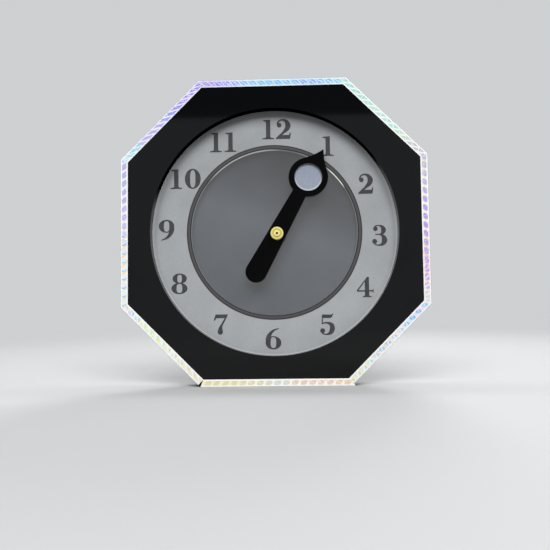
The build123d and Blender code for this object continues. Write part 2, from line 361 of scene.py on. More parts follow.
def make_dial_frosted():
    """Frosted face with slow clouds and a fine grain, painted paler toward the foot as light, and a
    painted glow on its edge.
    """
    finish = Finish("dial_frosted", {"Specular IOR Level": 0.35, "Emission Strength": 1.0})
    wall = finish.edge_mask()
    clouds = finish.ease(finish.noise(28 * mm, 3), 0.3, 0.7)
    toward_foot = toward_hour(finish, foot_hour)
    # Painted light: the face grows paler toward its foot, mixed with the clouds.
    gradient = 0.35 * clouds + 0.65 * finish.ease(toward_foot, -1, 1)
    face = finish.mix(gradient, tone(158, 161, 164), tone(179, 182, 185))
    radius = radius_about(finish, dial_centre.x, dial_centre.z)
    sideways = 1 - finish.ease(toward_foot, -0.2, 0.4)
    beside_wall = finish.ease(radius, band_start - band_widening * sideways, band_end)
    lit = beside_wall * finish.ease(toward_foot, -1, -0.6)
    face = finish.mix(0.6 * lit, face, tone(240, 243, 245))
    speckle = finish.ease(finish.noise(0.9 * mm, 2), 0.35, 0.65)
    face = finish.mix(0.12 * speckle, face, tone(120, 122, 126))
    finish.shade("Base Color", finish.mix(wall, face, tone(44, 46, 46)))
    finish.shade("Roughness", 0.62 - 0.4 * wall)
    # Painted light: the cut edge glows, for the light that runs inside the sheet.
    gathered = finish.ease(finish.noise(40 * mm, 1), 0.35, 0.65)
    glow = finish.mix(gathered, tone(98, 100, 101), tone(120, 122, 121))
    paler = finish.ease(toward_hour(finish, paler_hour), 0.87, 0.96)
    glow = finish.mix(paler, glow, tone(158, 160, 160))
    bright = finish.ease(toward_hour(finish, bright_hour), 0.985, 0.998)
    glow = finish.mix(bright, glow, tone(226, 228, 222))
    finish.shade("Emission Color", finish.mix(wall, (0, 0, 0, 1), glow))
    grain = finish.noise(0.35 * mm, 3)
    finish.relief(grain * (1 - wall), 0.05 * mm)
    return finish


dress(make_dial_frosted(), "dial_plate")

# %% [markdown]
# The numerals and the thin border inside them are cut from one dark grey vinyl. Vinyl is satin and
# almost even, with a faint drift of colour. The border is darker along both rims than in its
# middle, so its finish also asks how far a point lies from the axis of the dial.

# %% Dark grey vinyl


def corners_of(name):
    """All corners of a solid, one row of x, y and z for each."""
    vertices = nodes[name].data.vertices
    numbers = np.empty(3 * len(vertices))
    vertices.foreach_get("co", numbers)
    return numbers.reshape(-1, 3)


def make_vinyl(name):
    """Cut vinyl: a satin, nearly even dark grey."""
    finish = Finish(name, {"Specular IOR Level": 0.3, "Roughness": 0.48})
    drift = finish.ease(finish.noise(4 * mm, 3), 0.3, 0.7)
    finish.shade("Base Color", finish.mix(drift, tone(64, 63, 66), tone(74, 73, 75)))
    finish.relief(finish.noise(0.3 * mm), 0.01 * mm)
    return finish


def make_border_vinyl():
    """The same vinyl as a ring: the rims are darker, the middle of its width paler."""
    finish = make_vinyl("print_border")
    corners = corners_of("dial_border")
    radii = np.hypot(corners[:, 0] - dial_centre.x, corners[:, 2] - dial_centre.z)
    inner = radii.min()
    outer = radii.max()
    middle = (inner + outer) / 2
    half_width = (outer - inner) / 2
    radius = radius_about(finish, dial_centre.x, dial_centre.z)
    pale_reach = 0.35 * half_width
    pale = finish.within(radius, middle - pale_reach, middle + pale_reach, 0.4 * half_width)
    finish.shade("Base Color", finish.mix(pale, tone(42, 42, 45), tone(82, 82, 83)))
    print("border from", round(inner / mm, 1), "to", round(outer / mm, 1), "mm from the centre")
    return finish


vinyl = make_vinyl("print_grey")
dress(make_border_vinyl(), "dial_border")

# %% [markdown]
# The tape is metallised film that splits light. It is embossed with a row of slanting cells between
# two plain white borders. Each cell shows a soft oval, often crossed by a white dash, and bright
# lines run between the cells. On the real film the colours depend on the angle to the lamps, and a
# true grating can't be traced. They are painted here as they stand in the view from the front: a
# small palette is named once, and each strip runs through a few of its colours.

# %% Colours of the film
film = {
    "white": tone(246, 246, 248),
    "violet": tone(150, 136, 230),
    "orchid": tone(178, 154, 222),
    "lavender": tone(182, 174, 226),
    "mauve": tone(190, 180, 208),
    "periwinkle": tone(140, 164, 234),
    "azure": tone(96, 172, 236),
    "sky": tone(126, 188, 234),
    "cyan": tone(138, 210, 230),
    "ice": tone(206, 232, 240),
    "aqua": tone(158, 214, 200),
    "mint": tone(188, 222, 190),
    "sage": tone(192, 202, 172),
    "butter": tone(242, 234, 148),
    "cream": tone(238, 230, 190),
    "sand": tone(216, 210, 178),
    "shell": tone(224, 200, 178),
    "pearl": tone(210, 210, 208),
    "peach": tone(248, 198, 146),
    "rose": tone(246, 160, 188),
    "blush": tone(240, 212, 230),
}
print("colours of the film:", ", ".join(film))

# %% [markdown]
# The strips are told apart by their looks, clockwise from the top one. A row of a look also runs
# clockwise along its strip: the colours of the ovals, of the ground and of the lines, then shares
# from 0 to 1: how white the dash across an oval is, how hollow the oval is, and how far the lines
# give way to lines that lean the other way. The glow is painted light: how strongly the strip shines
# with its own colours, for the light it throws back. The rim's tint is how much its two borders take
# on the colour of the ground, and the start shifts the cells by a share of their pitch. The lean says
# how far the lines move along the strip for each step across it, the oval's share makes all ovals
# larger or smaller, and the dash's slope says how far a dash leans. What a look doesn't name is as in
# the plain look.

# %% How the colours run along each strip
plain_look = {
    "glow": 0.1,
    "rim_tint": 0.0,
    "start_share": 0.0,
    "lean": 1.0,
    "oval_share": 1.0,
    "dash_slope": 1.2,
    "dashes": (0.0, 0.0),
    "hollows": (0.0, 0.0),
    "crosses": (0.0, 0.0),
}
tape_looks = {
    "tape_top": {
        "rim_tint": 0.35,
        "start_share": 0.12,
        "lean": -1.0,
        "oval_share": 1.15,
        "ovals": "lavender violet periwinkle sky sky sky periwinkle sky cyan",
        "ground": "violet violet sky cyan cyan cyan sky cyan ice",
        "lines": "lavender blush white white ice white ice white cream",
        "dashes": (0.6, 0.4, 0.6, 0.4, 0.3, 0.3, 0.5, 0.6, 0.5),
    },
    "tape_upper_right": {
        "lean": -1.0,
        "oval_share": 1.15,
        "dash_slope": -2.0,
        "ovals": "aqua aqua aqua mint aqua mint mauve mauve",
        "ground": "ice ice mint ice ice sage cream pearl",
        "lines": "ice mint ice ice white ice cream white",
        "dashes": (0.85, 0.85),
    },
    "tape_right": {
        "start_share": 0.2,
        "ovals": "mauve mauve lavender orchid orchid lavender orchid lavender ice",
        "ground": "pearl white white white white blush blush white blush",
        "lines": "mint cream cream cream cream peach rose peach peach",
        "dashes": (0.0, 0.0, 0.0, 0.0, 0.0, 0.0, 0.4, 0.9, 0.6),
    },
    "tape_lower_right": {
        "start_share": -0.2,
        "lean": -1.0,
        "oval_share": 0.8,
        "dash_slope": -1.0,
        "ovals": "sky azure azure cyan sky sky cyan cyan aqua",
        "ground": "ice blush ice blush cream shell cream cream cream",
        "lines": "white blush ice white blush white white cream white",
        "dashes": (0.5, 0.2, 0.4, 0.7, 0.7, 0.6, 0.8, 0.8, 0.8),
        "hollows": (0.3, 0.2, 0.1, 0.5, 0.3, 0.2, 0.5, 0.6, 0.8),
        "crosses": (0.5, 0.5),
    },
    "tape_bottom": {
        "glow": 0.18,
        "start_share": -0.28,
        "ovals": "shell shell shell shell pearl sand sand sand sand",
        "ground": "cream white white white white white cream cream cream",
        "lines": "peach peach peach cream mint butter butter butter butter",
        "crosses": (1.0, 1.0, 0.8, 0.5, 0.4, 0.0, 0.0, 0.0),
    },
    "tape_lower_left": {
        "glow": 0.17,
        "start_share": 0.12,
        "lean": -0.4,
        "oval_share": 1.05,
        "ovals": "sand sand sage sage mint mint mint sky shell",
        "ground": "cream cream cream cream sage mint cream ice blush",
        "lines": "cream sand cream white butter butter butter white peach",
        "dashes": (0.7, 0.7),
        "hollows": (0.3, 0.3, 0.4, 0.5, 0.5, 0.4, 0.4, 0.3, 0.3),
    },
    "tape_left": {
        "lean": -0.8,
        "ovals": "cyan azure cyan azure lavender lavender lavender lavender",
        "ground": "sand white cream white white ice ice lavender",
        "lines": "cream cream peach peach blush white white white",
        "hollows": (0.8, 0.8, 0.8, 0.6, 0.1, 0.0, 0.0, 0.0),
    },
    "tape_upper_left": {
        "rim_tint": 0.25,
        "lean": -0.6,
        "oval_share": 1.1,
        "dash_slope": 1.5,
        "ovals": "ice cyan lavender lavender periwinkle violet violet violet",
        "ground": "white ice lavender lavender lavender violet orchid violet",
        "lines": "lavender aqua lavender lavender violet lavender blush lavender",
        "dashes": (0.3, 0.7, 0.8, 1.0, 1.0, 0.9, 1.0, 0.6),
    },
}
print("strips:", ", ".join(tape_looks))

# %% [markdown]
# The pattern is worked out from two distances, along the strip and across it. Every mark on the film
# is a mask made from them, 1 on the mark and 0 beside it.

# %% Marks of the prismatic tape
tape_width = 7 * mm
tape_border = 1.15 * mm
cell_pitch = 8.5 * mm
oval_length = 6.5 * mm
oval_height = 5.4 * mm
dash_width = 1.2 * mm
dash_reach = 1.9 * mm
crescent_share = 0.4
fleck_size = 0.8 * mm


def along_strip(finish, share, row):
    """Runs through a row of the film's colours, given by name, or of shares from 0 to 1."""
    if isinstance(row, str):
        return finish.ramp(share, [film[name] for name in row.split()])
    return finish.ramp(share, [(entry, entry, entry, 1.0) for entry in row])


def lines_at(finish, steps):
    """A soft line wherever the steps, which rise by 1 from cell to cell, reach a whole number."""
    off_line = finish.add("Math", {"operation": "PINGPONG"}, {0: steps, 1: 0.5})
    return 1 - finish.ease(off_line, 0.05, 0.12)


def oval_at(finish, along, across):
    """A soft oval: where along squared plus across squared, as parts of its half sizes, is under 1."""
    return 1 - finish.ease(along * along + across * across, 0.7, 1.2)


def places_on(finish, name, turn):
    """How far a point lies clockwise from the start of a strip and inward from its middle, and the
    strip's length. The turn is the angle of its outer edge on the case."""
    outward = Vector((math.cos(turn), 0, math.sin(turn)))
    clockwise = Vector((math.sin(turn), 0, -math.cos(turn)))
    corners = corners_of(name)
    ends = corners @ np.array(clockwise)
    across = (corners @ np.array(outward)).max() - finish.along(outward) - tape_width / 2
    forward = finish.along(clockwise) - ends.min()
    return forward, across, ends.max() - ends.min()


def marks_on(finish, look, forward, across):
    """The oval of each cell, its crescent, its dash, its line and the line that leans the other way.
    A cell is the fraction of (forward + lean times across) over the pitch. A dash is where a point
    lies near a slanting line through the oval's middle. The crescent is what an oval keeps when the
    same oval, moved along a little, is cut out of it."""
    lean = look["lean"]
    steps = (forward + lean * across) / cell_pitch + look["start_share"]
    in_cell = finish.add("Math", {"operation": "FRACT"}, {0: steps}) - 0.5
    along = in_cell * cell_pitch - (0.5 * lean) * across
    along_part = along * (2 / (oval_length * look["oval_share"]))
    across_part = across * (2 / (oval_height * look["oval_share"]))
    oval = oval_at(finish, along_part, across_part)
    crescent = finish.clamp(oval - oval_at(finish, along_part - crescent_share, across_part))
    slope = look["dash_slope"]
    off_dash = finish.size_of((along - slope * across) / math.hypot(1, slope))
    dash = 1 - finish.ease(off_dash, 0.3 * dash_width, 0.7 * dash_width)
    dash = dash * (1 - finish.ease(finish.size_of(across), dash_reach, 1.3 * dash_reach))
    crossing = (forward - lean * across) / cell_pitch
    return oval, crescent, dash, lines_at(finish, steps), lines_at(finish, crossing)


# %% [markdown]
# With its marks at hand the film is laid on like a print: the ground first, then the lines, ovals,
# dashes and bright flecks over it, and the two plain borders last.

# %% Prismatic tape


def make_tape(name, look, turn):
    """One strip of film, its colours running clockwise along it."""
    fixed = {"Roughness": 0.3, "Coat Roughness": 0.08, "Coat Weight": 0.2}
    finish = Finish(name, fixed | {"Emission Strength": look["glow"]})
    forward, across, length = places_on(finish, name, turn)
    print(name, "has", round(length / cell_pitch, 1), "cells")
    oval, crescent, dash, rule, ray = marks_on(finish, look, forward, across)

    facets = finish.add("TexVoronoi", {}, {"Vector": finish.place(), "Scale": 1 / fleck_size}, "Color")
    flicker = finish.add("SeparateColor", {}, {0: facets}) - 0.5
    share = forward / length + 0.12 * flicker
    cross = along_strip(finish, share, look["crosses"])
    line = rule * (1 - cross) + ray * cross
    line_colour = along_strip(finish, share, look["lines"])
    oval_colour = along_strip(finish, share, look["ovals"])
    inside = along_strip(finish, share, look["hollows"]) * (1 - crescent)
    oval_colour = finish.mix(inside, oval_colour, film["white"])
    ground = along_strip(finish, share, look["ground"])
    colour = finish.mix(line, ground, line_colour)
    colour = finish.mix(oval, colour, oval_colour)
    colour = finish.mix(dash * along_strip(finish, share, look["dashes"]), colour, film["white"])
    colour = finish.mix(0.6 * finish.ease(flicker, 0.34, 0.42), colour, film["white"])

    edge = tape_width / 2 - tape_border
    border = finish.ease(finish.size_of(across), edge - 0.2 * tape_border, edge)
    rim = finish.mix(0.4 * line, film["white"], line_colour)
    rim = finish.mix(look["rim_tint"], rim, ground)
    colour = finish.mix(border, colour, rim)
    finish.shade("Base Color", colour)
    # Painted light: the film shines with its own colours, as strongly as its look's glow.
    finish.shade("Emission Color", colour)
    finish.relief(oval - 0.5 * dash + 0.3 * flicker, 0.03 * mm)
    return finish


for step, (strip, look) in enumerate(tape_looks.items()):
    dress(make_tape(strip, plain_look | look, math.pi / 2 - step * math.pi / 4), strip)

# %% [markdown]
# The window is the turning disc itself: clear acrylic with a light smoke tint, so that it reads
# darker than the frosted ring round it. Alpha lets the view through without bending it, which a
# sheet this thin hardly does, and the rest of the surface still takes soft shadows and gloss. Over
# the tint, painted shade makes it palest across its middle, a little darker at its foot and deepest
# towards its upper right.

# %% Smoked clear disc
shade_upward = Vector((0.35, 0, 0.94))
shade_below = 80 * mm
shade_above = 90 * mm


def make_rotor_clear():
    """Tinted sheet, mostly smooth, with painted shade: palest across its middle and deepest towards
    its upper right.
    """
    finish = Finish("rotor_clear", {"Alpha": 0.64, "Specular IOR Level": 0.3})
    wipes = finish.ease(finish.noise(35 * mm, 3), 0.35, 0.75)
    middle = dial_centre.dot(shade_upward)
    height = finish.ease(finish.along(shade_upward), middle - shade_below, middle + shade_above)
    # Painted shade: the tint runs from pale across the middle to deep toward the upper right.
    tint_and_shade = finish.ramp(height, (tone(73, 78, 85), tone(90, 95, 102), tone(24, 27, 33)))
    finish.shade("Base Color", finish.mix(0.03 * wipes, tint_and_shade, tone(200, 205, 212)))
    finish.shade("Roughness", 0.06 + 0.1 * wipes)
    return finish


dress(make_rotor_clear(), "rotor_disc")

# %% [markdown]
# The hand is cut from black acrylic. Its face is dull and its outer walls are polished, while the
# wall of its eye was left dull. The pale disc behind the eye is satin metal, turned on a lathe. A
# narrow bright line along the lower half of its rim is a painted highlight, for the light from above
# that the edge of the eye catches. The camera looks up at the eye, which hides the lowest part of the
# disc behind it, so that line is drawn a little higher than the rim.

# %% Black hand, its spacer and the pale disc
eye_low, eye_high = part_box("eye_disc")
eye = (eye_low + eye_high) / 2
eye_opening = 13.7 * mm
rim_lift = 1.4 * mm
rim_start = eye_opening - 1.4 * mm
rim_end = eye_opening - 0.9 * mm


def make_hand_black():
    """Smooth black with a few hairline scratches, under a full gloss on its outer walls."""
    fixed = {"Base Color": tone(4, 4, 5), "Specular IOR Level": 0.06, "Coat Roughness": 0.05}
    finish = Finish("hand_black", fixed)
    outer = finish.ease(radius_about(finish, eye.x, eye.z), eye_opening, eye_opening + 1 * mm)
    finish.shade("Coat Weight", finish.edge_mask() * outer)
    hairlines = finish.ease(finish.noise(1.5 * mm, 4, twist=2.0), 0.6, 0.8)
    finish.shade("Roughness", 0.16 + 0.12 * hairlines)
    return finish


def make_turned(name, fixed, x, z, groove, depth):
    """Turned metal: fine rings about an axis. Their height is the sine of a full turn times the
    radius over the width of a groove, and a slow noise keeps them from being quite even."""
    finish = Finish(name, fixed)
    radius = radius_about(finish, x, z)
    waver = finish.noise(2 * mm) * 0.6
    rings = finish.add("Math", {"operation": "SINE"}, {0: radius * (2 * math.pi / groove) + waver})
    shine = finish.noise(0.4 * mm, 3)
    finish.shade("Roughness", fixed["Roughness"] + 0.12 * shine)
    finish.relief(rings, depth)
    return finish


dress(make_hand_black(), "hand")
disc_fixed = {"Metallic": 1.0, "Roughness": 0.2}
disc = make_turned("disc_silver", disc_fixed, eye.x, eye.z, 0.5 * mm, 0.003 * mm)
# Painted highlight: a bright line along the lower half of the disc's rim.
rim = disc.ease(radius_about(disc, eye.x, eye.z + rim_lift), rim_start, rim_end)
low_half = 1 - disc.ease(disc.along((0, 0, 1)), eye.z - 6 * mm, eye.z + 2 * mm)
disc.shade("Base Color", disc.mix(rim * low_half, tone(203, 211, 229), tone(250, 252, 255)))
dress(disc, "eye_disc")
spacer = Finish("spacer_black", {"Base Color": tone(24, 24, 25), "Roughness": 0.5})
spacer.relief(spacer.noise(0.5 * mm), 0.02 * mm)
dress(spacer, "hub_spacer")

# %% [markdown]
# The nut is bright brass, turned and then knurled, and the end of its screw shows in the middle.
# The dish round the screw is darker brass, and the centre mark in the screw's end is painted darker
# still, as shade in that small hole. Both lie round the hub's axis, so a distance from it finds them.
# The washer is plain steel, the screws behind are blackened steel, and the glides are white film.

# %% Brass, steel and white film
brass_fixed = {"Metallic": 0.25, "Roughness": 0.24}
brass = make_turned("brass", brass_fixed, hub.x, hub.z, 0.35 * mm, 0.004 * mm)
dish_inner = 3.2 * mm
dish_outer = 4.7 * mm
mark_radius = 1.1 * mm
hub_distance = radius_about(brass, hub.x, hub.z)
nut_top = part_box("thumb_nut")[0].y
front_end = nut_top + 2 * mm
in_front = 1 - brass.ease(brass.along((0, 1, 0)), front_end, front_end + 0.2 * mm)
dish = in_front * brass.within(hub_distance, dish_inner, dish_outer, 0.3 * mm)
# Painted shade: the centre mark in the screw's end is dark.
mark = in_front * (1 - brass.ease(hub_distance, mark_radius, mark_radius + 0.1 * mm))
brass_colour = brass.mix(dish, (1.0, 0.92, 0.32, 1), (0.78, 0.61, 0.17, 1))
brass.shade("Base Color", brass.mix(mark, brass_colour, tone(14, 2, 4)))
brass.shade("Metallic", brass_fixed["Metallic"] + (1 - brass_fixed["Metallic"]) * mark)
dress(brass, "thumb_nut", "pivot_screw")
steel_fixed = {"Base Color": tone(186, 188, 190), "Metallic": 1.0, "Roughness": 0.3}
dress(make_turned("washer_steel", steel_fixed, hub.x, hub.z, 0.6 * mm, 0.005 * mm), "pivot_washer")


def make_screw_black():
    """Blackened steel, worn a little to grey."""
    finish = Finish("screw_black", {"Metallic": 0.8})
    worn = finish.ease(finish.noise(1.2 * mm, 3), 0.5, 0.8)
    finish.shade("Base Color", finish.mix(worn, tone(40, 40, 42), tone(78, 78, 80)))
    finish.shade("Roughness", 0.3 + 0.15 * worn)
    return finish


dress(make_screw_black(), "case_screws", "retainer_screws")
glide = Finish("glide_white", {"Base Color": tone(226, 226, 222)})
glide.shade("Roughness", 0.35 + 0.15 * glide.noise(3 * mm))
dress(glide, "front_glide_ring", "rear_glide_ring")

# %% [markdown]
# The numerals are cut vinyl in a heavy style: thick upright strokes, hair-thin joins, balls at the
# ends of the curves and flat thin feet. A font could give them, but the shapes are drawn here so
# that they match the dial. Each figure is built the way a pen would: strokes whose width swells and
# thins along a smooth centre line, ovals and blocks laid over each other, and counters cut out.
# All figures stand on a line at height 0 and are 20 mm tall, and their sizes are given in mm.

# %% Parts of a figure: ovals, blocks and pen strokes
oval_corners = 72
pen_steps = 9


def oval(x, y, half_width, half_height, square=2.0):
    """Closed curve: x = half width times cosine to the power 2 / square, y the same with sine.
    With a square of 2 it is an ellipse, and a higher one makes it fuller in its corners."""
    turn = np.linspace(0, 2 * np.pi, oval_corners, endpoint=False)
    bend = 2 / square
    across = half_width * np.sign(np.cos(turn)) * np.abs(np.cos(turn)) ** bend
    up = half_height * np.sign(np.sin(turn)) * np.abs(np.sin(turn)) ** bend
    return [np.column_stack([x + across, y + up])]


def block(*corners):
    """A shape with straight sides."""
    return [np.array(corners, float)]


def pen(*stations):
    """A stroke through stations (x, y, width). Between two stations place and width follow a cubic
    that leaves each along the line between its neighbours, and each side of the stroke lies half a
    width from the centre line, square to it. The stroke is given as a strip of triangles."""
    given = np.array(stations, float)
    slope = np.gradient(given, axis=0)
    t = np.linspace(0, 1, pen_steps, endpoint=False)[None, :, None]
    start, end = given[:-1, None], given[1:, None]
    leave, arrive = slope[:-1, None], slope[1:, None]
    line = (2 * t**3 - 3 * t**2 + 1) * start + (t**3 - 2 * t**2 + t) * leave
    line = line + (3 * t**2 - 2 * t**3) * end + (t**3 - t**2) * arrive
    line = np.vstack([line.reshape(-1, 3), given[-1]])
    heading = np.gradient(line[:, :2], axis=0)
    heading = heading / np.linalg.norm(heading, axis=1, keepdims=True)
    side = np.column_stack([-heading[:, 1], heading[:, 0]]) * line[:, 2:] / 2
    left = line[:, :2] + side
    right = line[:, :2] - side
    lower = np.stack([right[:-1], right[1:], left[1:]], axis=1)
    upper = np.stack([right[:-1], left[1:], left[:-1]], axis=1)
    return list(lower) + list(upper)


print("a stroke of 4 stations has", len(pen((0, 0, 1), (1, 1, 2), (2, 3, 2), (3, 3, 1))), "triangles")

# %% [markdown]
# Each figure is a pair: what is inked and what is cut out again. The 9 is the 6 turned half round,
# as in most such styles.

# %% The ten figures


def figure_0():
    """A tall oval with a narrow upright counter."""
    return oval(8.0, 10.0, 8.0, 10.2), oval(8.0, 10.0, 2.75, 9.0, 2.6)


def figure_1():
    """A thick stem with a flag at the top left and a flat thin foot."""
    stem = block((3.8, 0), (8.2, 0), (8.2, 20.0), (3.8, 19.7))
    flag = block((1.0, 18.6), (3.9, 17.9), (3.9, 19.7), (1.0, 19.5))
    foot = block(
        (0, 0), (11.8, 0), (11.8, 0.9), (9.2, 1.3), (8.1, 2.3), (3.9, 2.3), (2.8, 1.3), (0, 0.9)
    )
    return stem + flag + foot, []


def figure_2():
    """A ball, a swelling bow, a thinning diagonal and a heavy foot with a spur."""
    ball = oval(3.4, 14.1, 2.3, 2.3)
    bow = pen(
        (1.6, 14.3, 1.2), (1.9, 16.4, 1.4), (3.6, 18.6, 1.4), (6.9, 19.5, 1.6), (10.2, 18.2, 3.2),
        (12.2, 14.3, 5.3), (11.2, 10.4, 4.6), (7.4, 6.4, 2.4), (2.9, 2.6, 1.7), (0.8, 0.6, 1.6),
    )
    spur = block((13.3, 3.9), (14.1, 0), (14.7, 2.6), (15.1, 6.2), (13.9, 6.2))
    foot = block((0.1, 0), (14.1, 0), (13.3, 3.9), (3.6, 3.9), (0.1, 0.9)) + spur
    return ball + bow + foot, []


def figure_3():
    """Two bows, the lower one larger, each from a ball, that meet in a short thin bar."""
    upper = pen(
        (1.7, 16.8, 1.0), (3.4, 19.2, 1.2), (6.6, 19.8, 1.0), (9.8, 18.6, 2.8), (11.4, 15.6, 4.9),
        (10.5, 12.8, 3.4), (8.4, 11.3, 1.3), (5.6, 10.9, 1.0), (3.2, 10.9, 1.2),
    )
    lower = pen(
        (8.0, 11.0, 1.1), (10.9, 9.0, 3.4), (12.2, 5.3, 5.5), (10.8, 1.9, 3.8),
        (7.2, 0.2, 1.4), (3.4, 0.8, 1.1), (0.9, 3.2, 1.2),
    )
    return upper + lower + oval(3.4, 16.6, 2.2, 2.2) + oval(2.4, 4.0, 2.4, 2.4), []


def figure_4():
    """A thick stem, a thin diagonal and a thin bar that ends in a small upright foot."""
    wedge = block((0.1, 5.6), (12.2, 5.6), (12.2, 20.0), (10.3, 20.0), (0.1, 6.9))
    counter = block((1.7, 6.8), (8.0, 6.8), (8.0, 15.6))
    stem = block((8.0, 0), (12.2, 0), (12.2, 20.0), (10.3, 20.0), (8.0, 17.0))
    serif = block((16.0, 4.4), (16.6, 4.4), (16.6, 8.0), (16.0, 8.0), (15.6, 6.8), (15.6, 5.6))
    bar = block((12.0, 5.6), (15.6, 5.6), (15.6, 6.8), (12.0, 6.8)) + serif
    foot = block((5.6, 0), (14.6, 0), (14.6, 0.8), (12.9, 1.1), (7.3, 1.1), (5.6, 0.8))
    foot = foot + block((7.3, 1.1), (12.9, 1.1), (12.1, 1.9), (8.1, 1.9))
    return wedge + stem + bar + foot, counter


def figure_5():
    """A heavy flag with a spur, a thin upright and a bow that curls up to a ball."""
    spur = block((12.0, 17.4), (13.4, 20.9), (12.8, 20.9), (11.4, 19.7))
    flag = block((1.9, 16.5), (10.6, 16.5), (12.0, 17.4), (11.4, 19.7), (2.3, 20.0)) + spur
    upright = block((1.7, 10.6), (2.9, 10.6), (3.1, 17.0), (2.2, 18.0))
    bow = pen(
        (2.1, 10.9, 1.2), (5.3, 11.8, 1.3), (8.8, 11.3, 2.4), (11.6, 9.3, 4.2), (12.2, 5.9, 5.0),
        (10.6, 2.2, 3.8), (7.0, 0.4, 1.4), (3.3, 0.9, 1.2), (1.0, 3.4, 1.3),
    )
    return flag + upright + bow + oval(2.6, 3.9, 2.4, 2.4), []


def figure_6():
    """A round bowl with an upright counter, and a tail that sweeps up and thins out."""
    bowl = oval(7.8, 5.9, 7.8, 6.5)
    tail = pen(
        (13.2, 20.0, 0.7), (9.6, 18.9, 1.4), (6.2, 16.6, 2.6),
        (3.8, 13.4, 3.9), (2.6, 10.0, 4.8), (2.5, 6.6, 4.9),
    )
    return bowl + tail, oval(7.75, 6.1, 2.8, 5.4, 2.8)


def figure_7():
    """A heavy flag with a spur, and a leg that swells to a drop."""
    spur = block((0.3, 14.2), (1.5, 14.2), (3.0, 16.5), (2.3, 20.1))
    flag = block((2.3, 20.1), (3.0, 16.5), (13.2, 16.5), (14.6, 20.6), (13.8, 20.1)) + spur
    leg = pen(
        (13.8, 19.6, 1.5), (11.9, 16.0, 1.5), (9.4, 11.4, 1.8),
        (7.6, 7.9, 2.9), (7.0, 5.0, 4.4), (6.9, 2.8, 5.2),
    )
    return flag + leg + oval(6.9, 2.8, 2.65, 2.65), []


def figure_8():
    """Two ovals, the lower one larger, each with an upright counter."""
    inks = oval(8.3, 15.4, 7.2, 5.1) + oval(8.0, 5.5, 8.0, 5.6)
    return inks, oval(8.2, 15.3, 2.35, 4.0, 2.8) + oval(8.0, 5.6, 2.9, 4.6, 2.8)


def figure_9():
    """The 6 turned half round, so that its bowl is at the top."""
    inks, cuts = figure_6()
    far_corner = np.array([15.6, 20.0])
    return [far_corner - shape for shape in inks], [far_corner - shape for shape in cuts]


figures = [figure_0, figure_1, figure_2, figure_3, figure_4]
figures += [figure_5, figure_6, figure_7, figure_8, figure_9]
print("figures drawn:", len(figures))

# %% [markdown]
# The pieces of a figure overlap, so they are joined before they become a mesh. A constrained
# triangulation splits the plane along every outline and says which shapes each triangle lies in.
# Triangles in any ink and in no cut are kept, and the sides that only one kept triangle has are the
# outline, from which the thin wall of the vinyl is built.

# %% Join the shapes of a numeral and give it its thickness


def signed_area(shape):
    """Half the sum of the cross products of neighbouring corners, below 0 for a clockwise shape."""
    after = np.roll(shape, -1, axis=0)
    return 0.5 * (shape[:, 0] * after[:, 1] - after[:, 0] * shape[:, 1]).sum()


def join_shapes(inks, cuts):
    """Corners and triangles of everything inked and not cut."""
    least_area = 1e-6
    shapes = [shape if signed_area(shape) > 0 else shape[::-1] for shape in inks + cuts]
    keep = [index for index, shape in enumerate(shapes) if signed_area(shape) > least_area]
    is_ink = [index < len(inks) for index in keep]
    corners = [Vector(corner) for index in keep for corner in shapes[index]]
    starts = np.cumsum([0] + [len(shapes[index]) for index in keep])
    faces = [list(range(low, high)) for low, high in zip(starts[:-1], starts[1:])]
    places, _, triangles, _, _, sources = delaunay_2d_cdt(corners, [], faces, 1, 1e-6)
    inked = [
        triangle
        for triangle, shape_ids in zip(triangles, sources)
        if any(is_ink[s] for s in shape_ids) and all(is_ink[s] for s in shape_ids)
    ]
    return np.array([tuple(place) for place in places]), np.array(inked)


def outline_of(triangles):
    """Directed sides that belong to one triangle only."""
    sides = np.vstack([triangles[:, [0, 1]], triangles[:, [1, 2]], triangles[:, [2, 0]]])
    _, first, count = np.unique(np.sort(sides, axis=1), axis=0, return_index=True, return_counts=True)
    return sides[first[count == 1]]


figure_steps = {10: 14.75, 11: 14.75, 12: 13.8}


def numeral_mesh(name, number):
    """Sets the figures of a number side by side, joins them and gives them a thin wall."""
    step = figure_steps.get(number, 0)
    inks = []
    cuts = []
    for index, figure in enumerate(str(number)):
        ink, cut = figures[int(figure)]()
        inks += [shape + [index * step, 0] for shape in ink]
        cuts += [shape + [index * step, 0] for shape in cut]
    flat, triangles = join_shapes(inks, cuts)
    used = np.unique(triangles)
    flat = flat[used]
    triangles = np.searchsorted(used, triangles)
    flat = (flat - (flat.min(axis=0) + flat.max(axis=0)) / 2) * mm
    count = len(flat)
    front = np.column_stack([flat[:, 0], np.full(count, print_face), flat[:, 1]])
    back = np.column_stack([flat[:, 0], np.full(count, dial_face), flat[:, 1]])
    walls = outline_of(triangles)
    quads = np.column_stack([walls[:, 1], walls[:, 0], walls[:, 0] + count, walls[:, 1] + count])
    faces = triangles.tolist() + (triangles[:, ::-1] + count).tolist() + quads.tolist()
    mesh = bpy.data.meshes.new(name)
    mesh.from_pydata(np.vstack([front, back]).tolist(), [], faces)
    return mesh


# %% [markdown]
# The numerals stand upright round the ring. They were laid by eye, so the ring of numerals is
# turned a little and each one is a touch off its place. A steady formula gives the place, and a
# small nudge in mm, right and up, gives the hand-laid look. The nudges go from the 1 to the 12.

# %% Lay the twelve numerals on the ring
numeral_radius = 105.7 * mm
numeral_turn = math.radians(2)
numeral_shift = Vector((-1.5, 0, -1.7)) * mm
numeral_nudges = [(0.5, -2.0), (0.5, -1.0), (1.0, 0.0), (1.5, 1.0), (3.5, 2.0), (3.0, 0.5)]
numeral_nudges += [(3.0, -0.5), (-1.0, 0.5), (-1.5, 1.5), (2.0, 1.0), (0.5, 0.5), (1.5, 0.5)]


